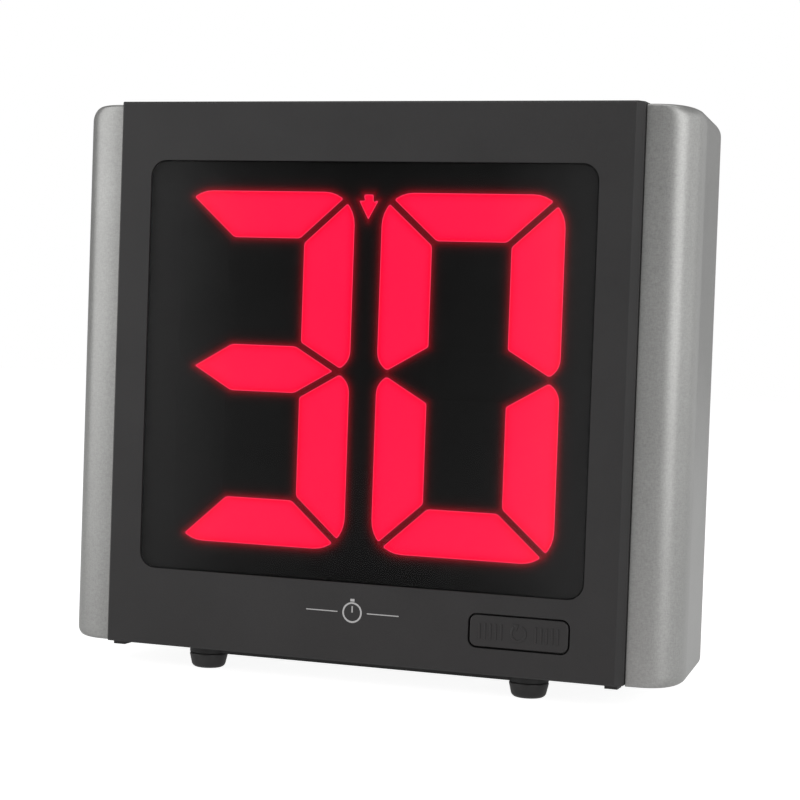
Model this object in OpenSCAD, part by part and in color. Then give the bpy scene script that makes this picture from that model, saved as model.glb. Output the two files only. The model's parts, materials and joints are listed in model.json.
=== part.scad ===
// Countdown gym timer with two tall red seven-segment digits, a front reset bar and silver end caps.
// Millimetres. The origin is on the floor under the middle of the box; +Z is up, the face looks along -Y.

/* [Body] */
// Width of the dark body between the end caps
body_w = 229.2; // [226:0.2:240]
// Height of the dark body
body_h = 232; // [232:1:245]
// Depth from the face to the back
depth = 95; // [92:1:110]
// Wall thickness of the moulded shells
wall = 2.5; // [2:0.1:3]
// Depth of the front housing, up to the seam on top
front_depth = 26; // [25:1:30]

/* [Window] */
// Width of the window opening
window_w = 196.4; // [190:0.2:198]
// Height of the window opening
window_h = 174.2; // [170:0.2:176]
// Height of the dark band under the window
chin_h = 33; // [32:0.5:36]
// Corner radius of the window
window_r = 7; // [4:0.5:10]

/* [Digits] */
// Width of one digit
digit_w = 79; // [70:0.5:82]
// Height of one digit
digit_h = 149.6; // [140:0.2:152]
// Width of an upright segment
upright_w = 22.9; // [18:0.1:24]
// Height of a level segment
level_h = 20.3; // [16:0.1:21]
// Space between the two digits
digit_gap = 11.2; // [10.6:0.2:14]
// Space between two neighbouring segments
segment_gap = 2; // [1:0.1:3]

/* [Reset button] */
// Width of the reset bar
reset_w = 41.4; // [30:0.2:44]
// Height of the reset bar
reset_h = 12.9; // [10:0.1:14]
// Distance of the reset bar's middle from the centre line
reset_x = 71.8; // [60:0.2:78]
// Travel of the reset bar
reset_travel = 1; // [0.5:0.1:1.4]

/* [End caps] */
// Width of an end cap, from the seam outwards
cap_w = 20.6; // [17:0.1:22]
// Set-back of the cap's front from the face
cap_setback = 6.6; // [5:0.1:8]
// Depth over which the front of a cap curves round into its side
cap_curve_d = 18.5; // [12:0.5:24]
// Distance from the back of a cap to the back of the body
cap_short = 18.8; // [12:0.1:22]
// Radius of the rounding along the upper outer edge of a cap
cap_edge_r = 6.7; // [4:0.1:8]
// Radius of the rounding along the lower outer edge of a cap
cap_low_r = 4.2; // [3:0.1:8]
// Depth of the rounding at the upper rear corner of a cap
cap_corner_ry = 14; // [9:0.5:20]

/* [Feet] */
// Height of a foot below the base plate
foot_h = 6.6; // [6:0.1:9]
// Distance of a foot from the centre line
foot_x = 72.1; // [60:0.1:74]
// Distance of a foot from the middle, front to back
foot_y = 30.2; // [26:0.2:32]
// Thickness of the base plate
base_t = 3.5; // [3:0.1:4]

/* [Hidden] */

$fn = 48;
eps = 0.01;
fit_gap = 0.1;
run_gap = 0.35;

// Main planes, front to back
face_y = -depth / 2;
back_y = depth / 2;
face_in = face_y + 3;
back_in = back_y - wall;
seam_y = face_y + front_depth;

// Main levels and half widths
floor_gap = foot_h + base_t;
top_z = floor_gap + body_h;
mid_z = floor_gap + body_h / 2;
half_w = body_w / 2;
side_in = half_w - wall;
bevel_w = 2.5;
bevel_d = 4.2;
edge_bevel = 0.8;

// Window, lens and display stack
lens_setback = 0.4;
lens_groove = 0.5;
lens_lip = 1.3;
lens_rim = 4.8;
window_z = floor_gap + chin_h + window_h / 2;
mask_t = 1.5;
mask_y = face_in + mask_t;
light_box_d = 10;
led_y = mask_y + light_box_d;
board_t = 1.6;
display_rim = 4.2;

// Digits, measured from the middle of each one
hw = digit_w / 2;
hh = digit_h / 2;
inner_x = hw - upright_w;
inner_z = hh - level_h;
corner_r = 14;
waist_r = 8.8;
waist_angle = 30;
waist_tip = inner_x + level_h / 2 / tan(waist_angle);
mitre_angle = atan2(level_h, upright_w);
half_gap = segment_gap / 2;
digit_z = mid_z + 4.3;
digit_x = (digit_w + digit_gap) / 2;
leds_per_segment = 5;
led_pitch = 8;

// Reset bar
reset_z = floor_gap + 17.9;
reset_r = 3;
reset_gap = 0.7;
reset_flange = 2;
reset_post_x = 15;
reset_post_z = reset_z - 12;
switch_size = 6;
switch_h = 3.5;
plunger_r = 1.7;
plunger_h = 2;
plunger_sunk = 1.8;
reset_board_y = face_y + 13;

// Screws: shank radius, head radius and head height
screw_r = 1.45;
screw_hole_r = 1.5;
screw_head_r = 3;
screw_head_h = 2.2;
screw_free_r = 1.7;
boss_r = 4;
boss_x = side_in - boss_r - 0.6;
housing_boss_z = [floor_gap + 10, mid_z, top_z - 10];
led_post_z = [window_z - 54, window_z + 54];
clamp_t = 5;

// End caps
seam_gap = 0.5;
cap_x0 = half_w + seam_gap;
cap_x1 = cap_x0 + cap_w;
cap_z0 = floor_gap - 0.7;
cap_z1 = top_z - 0.6;
cap_y0 = face_y + cap_setback;
cap_y1 = back_y - cap_short;
cap_taper = 4;
cap_curve_n = 2.9;
cap_back_r = 4;
cap_corner_rz = 8;
cap_low_ry = 7;
cap_low_rz = 5;
cap_wall = 2.2;
cap_screw_y = 12;
cap_screw_z = [floor_gap + 36, top_z - 36];

// Base plate and feet
base_x = foot_x + 4.6;
base_y = foot_y + 3.8;
foot_r = 8.2;
foot_base_r = 7.2;
foot_stem_r = 2.5;
base_screw_x = 45;
base_screw_y = [-5, 24];

// Main board and the rear controls
main_y = back_y - 17;
main_x = 90;
main_z0 = floor_gap + 14;
main_z1 = main_z0 + 100;
main_post_x = main_x - 6;
main_post_z = [main_z0 + 6, main_z1 - 6];
recess_d = 2.5;
recess_floor = back_y - recess_d;
recess_x = [-70, 22];
recess_z = [floor_gap + 30, floor_gap + 54];
key_z = floor_gap + 42;
key_x = [-56, -38, -20];
key_r = 4;
key_travel = 0.6;
key_flange_r = 5.2;
key_switch_h = 3.5;
key_plunger_h = 1.5;
slider_x = 4;
slider_travel = 3;
jack_x = 66;
jack_z = key_z;
jack_w = 9;
jack_r = 3.2;
jack_pin_r = 1;
buzzer_x = 52;
buzzer_z = floor_gap + 92;
buzzer_r = 12;
cell_x = -62;
cell_z = floor_gap + 92;
cell_r = 10;
cover_r = 12;
cover_hole_r = 12.4;
cover_lug_r = 13.3;
cup_r = 14.2;
cup_floor_y = back_y - 11.4;

// Wall-hanging keyholes
keyhole_x = 60;
keyhole_z = floor_gap + 172;
keyhole_r = 4.25;
keyslot_r = 2.2;
keyslot_l = 9;

// ---------------------------------------------------------------- helpers

// A box between two corners.
module block(low, high) {
    translate(low) cube(high - low);
}

// A rod along Y from y0 to y1.
module rod_y(r, x, z, y0, y1) {
    translate([x, y1, z]) rotate([90, 0, 0]) cylinder(r = r, h = y1 - y0);
}

// A rod along X from x0 to x1.
module rod_x(r, y, z, x0, x1) {
    translate([x0, y, z]) rotate([0, 90, 0]) cylinder(r = r, h = x1 - x0);
}

// A flat shape drawn in X and Z, extruded from y0 to y1.
module upright(y0, y1) {
    translate([0, y1, 0]) rotate([90, 0, 0]) linear_extrude(y1 - y0) children();
}

// Points of an arc.
function arc(cx, cy, rx, ry, a0, a1, n = 8) =
    [for (i = [0:n]) let (a = a0 + (a1 - a0) * i / n) [cx + rx * cos(a), cy + ry * sin(a)]];

// Points of a rectangle with round corners, about its middle.
function round_rect(w, h, r) = concat(
    arc(w / 2 - r, h / 2 - r, r, r, 0, 90),
    arc(-w / 2 + r, h / 2 - r, r, r, 90, 180),
    arc(-w / 2 + r, -h / 2 + r, r, r, 180, 270),
    arc(w / 2 - r, -h / 2 + r, r, r, 270, 360)
);

// A round-cornered plate, from y0 to y1.
module round_plate(x, z, w, h, r, y0, y1) {
    upright(y0, y1) translate([x, z]) polygon(round_rect(w, h, r));
}

// A screw along +Y from its tip to its head, with a cross recess in the head.
module screw_y(x, z, tip_y, head_y, dir = 1) {
    translate([x, head_y, z]) rotate([dir > 0 ? -90 : 90, 0, 0]) screw(abs(head_y - tip_y));
}

// A screw with its head on +Z and its shank down -Z.
module screw(length) {
    difference() {
        union() {
            cylinder(r = screw_head_r, h = screw_head_h);
            translate([0, 0, -length]) cylinder(r = screw_r, h = length + eps);
        }
        for (a = [0, 90]) rotate([0, 0, a])
            translate([-1.8, -0.35, screw_head_h - 1.1]) cube([3.6, 0.7, 2]);
    }
}

// ---------------------------------------------------------------- housings

// The body's outline in plan, with the two bevels beside the face.
module body_plan(y0, y1) {
    linear_extrude(body_h)
        polygon([
            [-half_w, max(y0, face_y + bevel_d)], [-half_w + bevel_w, y0], [half_w - bevel_w, y0],
            [half_w, max(y0, face_y + bevel_d)], [half_w, y1], [-half_w, y1]
        ]);
}

// The body's outline from the side, with small bevels along the top and the foot of the face.
module body_side(y0, y1) {
    rotate([90, 0, 90]) linear_extrude(body_w + 2, center = true)
        polygon([
            [y0 + edge_bevel, 0], [y1, 0], [y1, body_h], [y0 + edge_bevel, body_h],
            [y0, body_h - edge_bevel], [y0, edge_bevel]
        ]);
}

// The dark front shell: face, window opening, bevels, screw posts and the two small pads beneath.
module front_housing() color("#2e2d2e") difference() {
    union() {
        difference() {
            translate([0, 0, floor_gap]) intersection() {
                body_plan(face_y, seam_y);
                body_side(face_y, seam_y);
            }
            block([-side_in, face_in, floor_gap + wall], [side_in, seam_y + 1, top_z - wall]);
        }
        for (s = [-1, 1]) {
            for (z = housing_boss_z) rod_y(boss_r, s * boss_x, z, face_in - eps, seam_y);
            for (z = led_post_z) rod_y(boss_r, s * boss_x, z, face_in - eps, led_y);
            // locating pads under the ends of the face
            translate([s * (half_w - 5.2), face_y + 5.4, floor_gap - 1.9])
                block([-2.65, 0, 0], [2.65, 7, 2]);
            // posts for the reset board
            rod_y(2.8, reset_x + s * reset_post_x, reset_post_z, face_in - eps, reset_board_y);
        }
    }
    // window, with a rebate behind it for the lens
    round_plate(0, window_z, window_w, window_h, window_r, face_y - 1, face_in + 1);
    round_plate(0, window_z, window_w + 2 * lens_rim, window_h + 2 * lens_rim, 3,
        face_y + lens_lip, face_in + 1);
    // reset bar opening
    round_plate(reset_x, reset_z, reset_w + 2 * reset_gap, reset_h + 2 * reset_gap, reset_r + reset_gap,
        face_y - 1, face_in + 1);
    for (s = [-1, 1]) {
        for (z = housing_boss_z) rod_y(screw_hole_r, s * boss_x, z, face_in + 4, seam_y + 1);
        for (z = led_post_z) rod_y(screw_hole_r, s * boss_x, z, face_in + 2, led_y + 1);
        rod_y(screw_hole_r, reset_x + s * reset_post_x, reset_post_z, face_in + 2, reset_board_y + 1);
    }
}

// One keyhole: a round hole for the screw's head and a slot above it for its neck.
module keyhole(x) {
    rod_y(keyhole_r, x, keyhole_z, back_in - 1, back_y + 1);
    block([x - keyslot_r, back_in - 1, keyhole_z], [x + keyslot_r, back_y + 1, keyhole_z + keyslot_l]);
    rod_y(keyslot_r, x, keyhole_z + keyslot_l, back_in - 1, back_y + 1);
}

// The dark rear shell: back panel, vents, keyholes, control recess and the coin cell's cup.
module rear_housing() color("#262627") difference() {
    union() {
        difference() {
            translate([0, 0, floor_gap]) body_plan_rear();
            block([-side_in, seam_y - 1, floor_gap + wall], [side_in, back_in, top_z - wall]);
        }
        for (s = [-1, 1]) {
            for (z = housing_boss_z) rod_y(boss_r, s * boss_x, z, seam_y, back_in + eps);
            for (z = main_post_z) rod_y(3.2, s * main_post_x, z, main_y + board_t, back_in + eps);
            for (y = base_screw_y)
                translate([s * base_screw_x, y, floor_gap + eps]) cylinder(r = 3.2, h = 9);
        }
        // floor of the control recess
        block([recess_x[0] - 2, recess_floor - wall, recess_z[0] - 2],
            [recess_x[1] + 2, back_in + eps, recess_z[1] + 2]);
        // cup for the coin cell
        rod_y(cup_r + 1.8, cell_x, cell_z, cup_floor_y, back_in + eps);
    }
    // control recess, with its openings
    block([recess_x[0], recess_floor, recess_z[0]], [recess_x[1], back_y + 1, recess_z[1]]);
    for (x = key_x) rod_y(key_r + run_gap, x, key_z, recess_floor - wall - 1, back_y);
    block([slider_x - 3 - run_gap, recess_floor - wall - 1, key_z - 1.8 - run_gap],
        [slider_x + 3 + run_gap + slider_travel, back_y, key_z + 1.8 + run_gap]);
    // inlet, buzzer and vents
    rod_y(5, jack_x, jack_z, back_in - 1, back_y + 1);
    for (i = [-3:3]) block([buzzer_x + i * 4 - 1, back_in - 1, buzzer_z - 9 + abs(i)],
        [buzzer_x + i * 4 + 1, back_y + 1, buzzer_z + 9 - abs(i)]);
    for (i = [-9:9]) block([i * 6 - 1.1, back_in - 1, top_z - 34], [i * 6 + 1.1, back_y + 1, top_z - 16]);
    for (s = [-1, 1]) keyhole(s * keyhole_x);
    // coin cell: round opening, bayonet notches and the space behind the panel for the lugs
    rod_y(cover_hole_r, cell_x, cell_z, back_in - 1, back_y + 1);
    for (a = [60, 240]) translate([cell_x, 0, cell_z]) rotate([0, a, 0])
        block([0, back_in - 1, -5.2], [cover_lug_r + run_gap, back_y + 1, 5.2]);
    rod_y(cup_r, cell_x, cell_z, cup_floor_y + 1.5, back_in);
    // housing screws: a deep counterbore and a free hole
    for (s = [-1, 1], z = housing_boss_z) {
        rod_y(screw_head_r + 0.3, s * boss_x, z, seam_y + clamp_t, back_y + 1);
        rod_y(screw_free_r, s * boss_x, z, seam_y - 1, seam_y + clamp_t + 1);
    }
    for (s = [-1, 1], z = main_post_z) rod_y(screw_hole_r, s * main_post_x, z, main_y, back_in - 2);
    for (s = [-1, 1], z = cap_screw_z)
        rod_x(screw_free_r, cap_screw_y, z, s * half_w - wall - 1, s * half_w + wall + 1);
    for (s = [-1, 1], y = base_screw_y)
        translate([s * base_screw_x, y, floor_gap - 1]) cylinder(r = screw_hole_r, h = 9);
}

// The rear shell's outline in plan, with bevelled rear edges.
module body_plan_rear() {
    linear_extrude(body_h)
        polygon([
            [-half_w, seam_y], [half_w, seam_y], [half_w, back_y - bevel_w],
            [half_w - bevel_w, back_y], [-half_w + bevel_w, back_y], [-half_w, back_y - bevel_w]
        ]);
}

// Points of a curve that is squarer than an ellipse, from the front round to the side.
function cap_curve(cx, cy, rx, ry, n) = [
    for (i = [0:n]) let (a = 90 * i / n)
        [cx + rx * pow(sin(a), 2 / cap_curve_n), cy - ry * pow(cos(a), 2 / cap_curve_n)]
];

// An end cap's outline in plan, drawn inside by e, with its seam side at x0.
function cap_outline(e, x0) = concat(
    [[x0, cap_y0 + e]],
    cap_curve(cap_x0, cap_y0 + cap_curve_d, cap_w - e, cap_curve_d - e, 20),
    arc(cap_x1 - cap_taper - cap_back_r, cap_y1 - cap_back_r, cap_back_r - e, cap_back_r - e, 0, 90, 6),
    [[x0, cap_y1 - e]]
);

// A cap's outline from the side, with its two rear corners rounded, drawn inside by e.
function cap_side(e) = concat(
    [[cap_y0 - 1, cap_z0 + e]],
    arc(cap_y1 - cap_low_ry, cap_z0 + cap_low_rz, cap_low_ry - e, cap_low_rz - e, 270, 360, 12),
    arc(cap_y1 - cap_corner_ry, cap_z1 - cap_corner_rz, cap_corner_ry - e, cap_corner_rz - e, 0, 90, 12),
    [[cap_y0 - 1, cap_z1 - e]]
);

// A cap's outline from the front, with its two outer corners rounded, drawn inside by e.
function cap_front(e, x0) = concat(
    [[x0 - 1, cap_z0 + e]],
    arc(cap_x1 - cap_low_r, cap_z0 + cap_low_r, cap_low_r - e, cap_low_r - e, 270, 360, 10),
    arc(cap_x1 - cap_edge_r, cap_z1 - cap_edge_r, cap_edge_r - e, cap_edge_r - e, 0, 90, 10),
    [[x0 - 1, cap_z1 - e]]
);

// A cap's solid shape, drawn inside by e and starting at x0.
module cap_form(e, x0) intersection() {
    linear_extrude(top_z + 10) polygon(cap_outline(e, x0));
    translate([x0 - 1, 0, 0]) rotate([90, 0, 90]) linear_extrude(cap_x1) polygon(cap_side(e));
    upright(cap_y0 - 1, cap_y1 + 1) polygon(cap_front(e, x0));
}

// A silver end cap: a hollow moulding, open towards the body, with two screw posts.
module end_cap(side) color("#a4a4a2") mirror([side < 0 ? 1 : 0, 0, 0]) difference() {
    union() {
        difference() {
            cap_form(0, cap_x0);
            cap_form(cap_wall, cap_x0 - 1);
        }
        for (z = cap_screw_z) rod_x(3.5, cap_screw_y, z, half_w + fit_gap, cap_x1 - cap_taper);
    }
    for (z = cap_screw_z) rod_x(screw_hole_r, cap_screw_y, z, half_w - 1, cap_x1 - cap_taper - 3);
}

// The plate under the body that carries the four feet.
module base_plate() color("#1c1c1c") difference() {
    translate([0, 0, foot_h]) linear_extrude(base_t) union() {
        polygon(round_rect(2 * base_x, 2 * base_y, 3));
        for (x = [-foot_x, foot_x], y = [-foot_y, foot_y]) translate([x, y]) circle(foot_r);
    }
    for (x = [-foot_x, foot_x], y = [-foot_y, foot_y])
        translate([x, y, foot_h - 1]) cylinder(r = foot_stem_r + 0.05, h = base_t + 2);
    for (x = [-base_screw_x, base_screw_x], y = base_screw_y)
        translate([x, y, foot_h - 1]) cylinder(r = screw_free_r, h = base_t + 2);
}

// A rubber foot: a tapered bumper with a rounded toe and a stem pressed into the base plate.
module foot(x, y) color("#161616") translate([x, y, 0]) rotate_extrude() polygon(concat(
    [[0, 0], [foot_base_r - 2, 0]],
    arc(foot_base_r - 1.9, 2.4, 2.4, 2.4, 285, 345, 6),
    [[foot_r - 0.3, foot_h - 2.2], [foot_r, foot_h - 1.6], [foot_r, foot_h],
     [foot_stem_r, foot_h], [foot_stem_r, foot_h + base_t - 0.1], [0, foot_h + base_t - 0.1]]
));

// ---------------------------------------------------------------- display

// The round outline of a digit's upper half, drawn inside by e.
function half_digit(e) = concat(
    arc(hw - waist_r, waist_r, waist_r - e, waist_r - e, 270, 360),
    arc(hw - corner_r, hh - corner_r, corner_r - e, corner_r - e, 0, 90),
    arc(-hw + corner_r, hh - corner_r, corner_r - e, corner_r - e, 90, 180),
    arc(-hw + waist_r, waist_r, waist_r - e, waist_r - e, 180, 270)
);

// Heights of the waist line and the mitre line at x.
function waist_at(x) = (waist_tip - x) * tan(waist_angle);
function mitre_at(x) = inner_z + (x - inner_x) * tan(mitre_angle);

// The field of the top segment, and of the upper right one, each drawn inside by e.
function top_field(e) = let (
    shift = (half_gap + e) / sin(mitre_angle),
    low_x = inner_x - shift + e / tan(mitre_angle),
    high_x = inner_x - shift + (level_h + 1) / tan(mitre_angle)
) [[-low_x, inner_z + e], [low_x, inner_z + e], [high_x, hh + 1], [-high_x, hh + 1]];

function upper_right_field(e) = let (
    low = (half_gap + e) / cos(waist_angle),
    high = (half_gap + e) / cos(mitre_angle),
    x0 = inner_x + e,
    x1 = hw + 1
) [
    [x0, waist_at(x0) + low], [x1, waist_at(x1) + low],
    [x1, mitre_at(x1) - high], [x0, mitre_at(x0) - high]
];

// The middle segment, drawn inside by e.
function middle_segment(e) = let (
    z = level_h / 2 - e,
    rise = (half_gap + e) / cos(waist_angle),
    x = waist_tip - (z + rise) / tan(waist_angle),
    tip = waist_tip - rise / tan(waist_angle)
) [[-tip, 0], [-x, -z], [x, -z], [tip, 0], [x, z], [-x, z]];

module top_segment(e) intersection() {
    polygon(half_digit(e));
    polygon(top_field(e));
}

module upper_right_segment(e) intersection() {
    polygon(half_digit(e));
    polygon(upper_right_field(e));
}

// One segment of a digit by its usual letter, a to g.
module segment(letter, e = 0) {
    if (letter == "a") top_segment(e);
    if (letter == "b") upper_right_segment(e);
    if (letter == "c") mirror([0, 1]) upper_right_segment(e);
    if (letter == "d") mirror([0, 1]) top_segment(e);
    if (letter == "e") mirror([0, 1]) mirror([1, 0]) upper_right_segment(e);
    if (letter == "f") mirror([1, 0]) upper_right_segment(e);
    if (letter == "g") polygon(middle_segment(e));
}

// The small arrow between the digits, drawn inside by e.
module arrow(e = 0) polygon([
    [0, -8.8 + 2 * e], [4.8 - 1.5 * e, -e], [2.4 - e, -e], [2.4 - e, 2.6 - e],
    [-2.4 + e, 2.6 - e], [-2.4 + e, -e], [-4.8 + 1.5 * e, -e]
]);

// Every lit shape of the display, as flat outlines in X and Z.
module display_shapes() {
    for (s = [-1, 1], letter = ["a", "b", "c", "d", "e", "f", "g"])
        translate([s * digit_x, digit_z]) segment(letter);
    translate([0, mid_z + 75.6]) arrow();
}

// A diffuser that fills one opening of the mask. The tens are at -X, as the viewer sees them.
module diffuser(side, letter) color("#ff2450")
    upright(face_in + 0.15, mask_y) translate([side * digit_x, digit_z]) segment(letter, fit_gap);

module countdown_arrow() color("#ff2450")
    upright(face_in + 0.15, mask_y) translate([0, mid_z + 75.6]) arrow(fit_gap);

// The smoked window, seated in the rebate behind the face.
module window_lens() color("#141414") union() {
    w = window_w - 2 * lens_groove;
    h = window_h - 2 * lens_groove;
    round_plate(0, window_z, w, h, window_r - lens_groove, face_y + lens_setback, face_y + lens_lip + 0.1);
    round_plate(0, window_z, window_w + 2 * lens_rim - 0.4, window_h + 2 * lens_rim - 0.4, 2.8,
        face_y + lens_lip, face_in - 0.05);
}

// The black mask with an opening for each segment.
module display_mask() color("#0c0c0c") difference() {
    round_plate(0, window_z, window_w + 2 * display_rim, window_h + 2 * display_rim, 2, face_in, mask_y);
    upright(face_in - 1, mask_y + 1) display_shapes();
}

// The white reflector with a cell for each segment.
module light_box() color("#f2f2ee") difference() {
    round_plate(0, window_z, window_w + 2 * display_rim, window_h + 2 * display_rim, 2, mask_y, led_y);
    upright(mask_y - 1, led_y + 1) display_shapes();
}

// The board behind the reflector, with four ears for its screws.
module led_board() color("#1f5a34") difference() {
    union() {
        round_plate(0, window_z, window_w + 2 * display_rim, window_h + 2 * display_rim, 2,
            led_y, led_y + board_t);
        for (s = [-1, 1], z = led_post_z)
            translate([s * (boss_x - 3), led_y, z]) block([-6.4, 0, -5], [6.4, board_t, 5]);
    }
    for (s = [-1, 1], z = led_post_z) rod_y(screw_free_r, s * boss_x, z, led_y - 1, led_y + board_t + 1);
}

// One surface-mounted light.
module led(x, z) {
    block([x - 1.75, led_y - 1.2, z - 1.4], [x + 1.75, led_y, z + 1.4]);
}

// Rows of lights behind every segment, and one behind the arrow.
module display_leds() color("#f4efe0") {
    span = (leds_per_segment - 1) / 2;
    for (s = [-1, 1], i = [-span:span]) {
        for (z = [-1, 0, 1]) led(s * digit_x + i * led_pitch * 0.8, digit_z + z * (hh - level_h / 2));
        for (x = [-1, 1], z = [-1, 1])
            led(s * digit_x + x * (hw - upright_w / 2),
                digit_z + z * (hh - level_h) * 0.58 + i * led_pitch);
    }
    led(0, mid_z + 73);
}

// The two driver chips on the back of the light board.
module display_drivers() color("#18181a")
    for (s = [-1, 1]) translate([s * 42, led_y + board_t, window_z])
        block([-6.4, 0, -3.8], [6.4, 2.2, 3.8]);

// ---------------------------------------------------------------- reset bar

// The reset bar: a long key with a flange behind the face and a short stem.
module reset_button() color("#343334") {
    stem_y = reset_board_y - switch_h - plunger_h;
    union() {
        round_plate(reset_x, reset_z, reset_w, reset_h, reset_r, face_y, face_in + run_gap + 0.1);
        round_plate(reset_x, reset_z, reset_w + 2 * reset_flange, reset_h + 2 * reset_flange, 2,
            face_in + run_gap, face_in + 1.8);
        rod_y(3, reset_x, reset_z, face_in + 1.7, stem_y);
    }
}

// The switch's plunger, which moves with the bar.
module reset_plunger() color("#e8e2d0")
    rod_y(plunger_r, reset_x, reset_z,
        reset_board_y - switch_h - plunger_h, reset_board_y - switch_h + 0.3);

// The switch's case, with a well for the plunger.
module reset_switch() color("#151515") difference() {
    block([reset_x - switch_size / 2, reset_board_y - switch_h, reset_z - switch_size / 2],
        [reset_x + switch_size / 2, reset_board_y, reset_z + switch_size / 2]);
    rod_y(plunger_r + run_gap, reset_x, reset_z,
        reset_board_y - switch_h - 1, reset_board_y - switch_h + plunger_sunk);
}

module reset_board() color("#1f5a34") difference() {
    block([reset_x - 20, reset_board_y, reset_z - 14.8],
        [reset_x + 20, reset_board_y + board_t, reset_z + 8]);
    for (s = [-1, 1])
        rod_y(screw_free_r, reset_x + s * reset_post_x, reset_post_z,
            reset_board_y - 1, reset_board_y + board_t + 1);
}

// ---------------------------------------------------------------- main board and rear controls

module main_board() color("#1f5a34") difference() {
    block([-main_x, main_y, main_z0], [main_x, main_y + board_t, main_z1]);
    for (s = [-1, 1], z = main_post_z)
        rod_y(screw_free_r, s * main_post_x, z, main_y - 1, main_y + board_t + 1);
}

module microcontroller() color("#18181a")
    block([-8, main_y - 1.6, floor_gap + 70], [8, main_y, floor_gap + 86]);

// Two upright capacitors beside the inlet, on the front of the board.
module capacitors() color("#20242c")
    for (x = [44, 58]) rod_y(4, x, floor_gap + 70, main_y - 12, main_y);

// The plug-in headers at the two ends of the ribbon.
module ribbon_headers() color("#e4e0d4") {
    block([-14, led_y + board_t, floor_gap + 52], [14, led_y + board_t + 6, floor_gap + 58]);
    block([-14, main_y - 6, floor_gap + 52], [14, main_y, floor_gap + 58]);
}

// The flat ribbon between the two boards, sagging in one shallow arc.
module display_ribbon() color("#8d8d88") {
    y0 = led_y + board_t + 6;
    y1 = main_y - 6;
    half = (y1 - y0) / 2;
    sag = 10;
    r = (half * half + sag * sag) / 2 / sag;
    a = asin(half / r);
    translate([-12.5, (y0 + y1) / 2, floor_gap + 55 - sag + r]) rotate([90, 0, 90]) linear_extrude(25)
        polygon(concat(
            arc(0, 0, r, r, 270 - a, 270 + a, 16), arc(0, 0, r - 1, r - 1, 270 + a, 270 - a, 16)
        ));
}

// The flat twin lead from the reset board to the main board.
module reset_cable() color("#2a2a2a")
    block([reset_x - 2.6, reset_board_y + board_t, reset_z + 2], [reset_x + 2.6, main_y, reset_z + 3.2]);

// A rear key: a round button with a flange behind the panel and a stem down to its switch.
module key_button(x) color("#3a3a3b") {
    flange_y = recess_floor - wall;
    stem_y = main_y + board_t + key_switch_h;
    union() {
        rod_y(key_r, x, key_z, flange_y - run_gap - 0.1, recess_floor + 1.4);
        rod_y(key_flange_r, x, key_z, flange_y - run_gap - 1.4, flange_y - run_gap);
        rod_y(2.2, x, key_z, stem_y, flange_y - run_gap - 1.3);
        rod_y(plunger_r, x, key_z, stem_y - key_plunger_h, stem_y + 0.1);
    }
}

// The cases of the three key switches, each with a well for its plunger.
module key_switches() color("#151515") {
    h = main_y + board_t + key_switch_h;
    for (x = key_x) difference() {
        block([x - switch_size / 2, main_y + board_t, key_z - switch_size / 2],
            [x + switch_size / 2, h - key_plunger_h, key_z + switch_size / 2]);
        rod_y(plunger_r + run_gap, x, key_z, h - key_plunger_h - 1.2, h + 1);
    }
}

// The power slider: a ribbed knob on a short lever.
module power_slider() color("#3a3a3b") {
    lever_y = main_y + board_t + 3;
    difference() {
        union() {
            translate([slider_x, recess_floor, key_z]) block([-3, 0.3 - wall, -1.8], [3, 1.4, 1.8]);
            translate([slider_x, 0, key_z]) block([-1, lever_y, -1], [1, recess_floor - wall + 0.4, 1]);
        }
        for (i = [-1:1])
            translate([slider_x + i * 1.6, recess_floor + 0.9, key_z]) block([-0.3, 0, -3], [0.3, 2, 3]);
    }
}

// The power switch's case, with a slot for the lever.
module power_switch() color("#8f8f8c") difference() {
    block([slider_x - 5, main_y + board_t, key_z - 3],
        [slider_x + 5 + slider_travel, main_y + board_t + 4.5, key_z + 3]);
    block([slider_x - 1 - run_gap, main_y + board_t + 2.6, key_z - 1 - run_gap],
        [slider_x + 1 + run_gap + slider_travel, main_y + board_t + 5, key_z + 1 + run_gap]);
}

// The low-voltage inlet: a block with a round socket. Its centre pin is a piece of its own.
module dc_jack() color("#121212") difference() {
    union() {
        block([jack_x - jack_w / 2, main_y + board_t, jack_z - 5.5],
            [jack_x + jack_w / 2, back_in - 0.2, jack_z + 5.5]);
        rod_y(4.4, jack_x, jack_z, back_in - 0.3, back_y - 0.4);
    }
    rod_y(jack_r, jack_x, jack_z, main_y + board_t + 3, back_y + 1);
}

module dc_jack_pin() color("#c9c9c9")
    rod_y(jack_pin_r, jack_x, jack_z, main_y + board_t + 3, back_y - 2);

// The round buzzer on the main board, with its sound hole to the rear.
module buzzer() color("#111111") difference() {
    rod_y(buzzer_r, buzzer_x, buzzer_z, main_y + board_t, main_y + board_t + 9.5);
    rod_y(1.5, buzzer_x, buzzer_z, main_y + board_t + 7, main_y + board_t + 10);
}

// The bayonet cover over the coin cell, with a coin slot and two lugs behind the panel.
module battery_cover() color("#2b2b2c") difference() {
    union() {
        rod_y(cover_r, cell_x, cell_z, back_in - 2, back_y - 0.2);
        for (a = [0, 180]) translate([cell_x, 0, cell_z]) rotate([0, a, 0]) intersection() {
            rod_y(cover_lug_r, 0, 0, back_in - 2, back_in - run_gap);
            block([8, back_in - 2, -4.6], [20, back_in, 4.6]);
        }
    }
    block([cell_x - 8, back_y - 1.2, cell_z - 1], [cell_x + 8, back_y + 1, cell_z + 1]);
}

module coin_cell() color("#c4c6c8") union() {
    rod_y(cell_r, cell_x, cell_z, cup_floor_y + 3.2, cup_floor_y + 6.4);
    rod_y(cell_r - 1.5, cell_x, cell_z, cup_floor_y + 2.9, cup_floor_y + 3.3);
}

// The sprung contact between the cup's floor and the cell.
module battery_contact() color("#c8b26a")
    rod_y(4, cell_x, cell_z, cup_floor_y + 1.5, cup_floor_y + 2.9);

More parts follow.
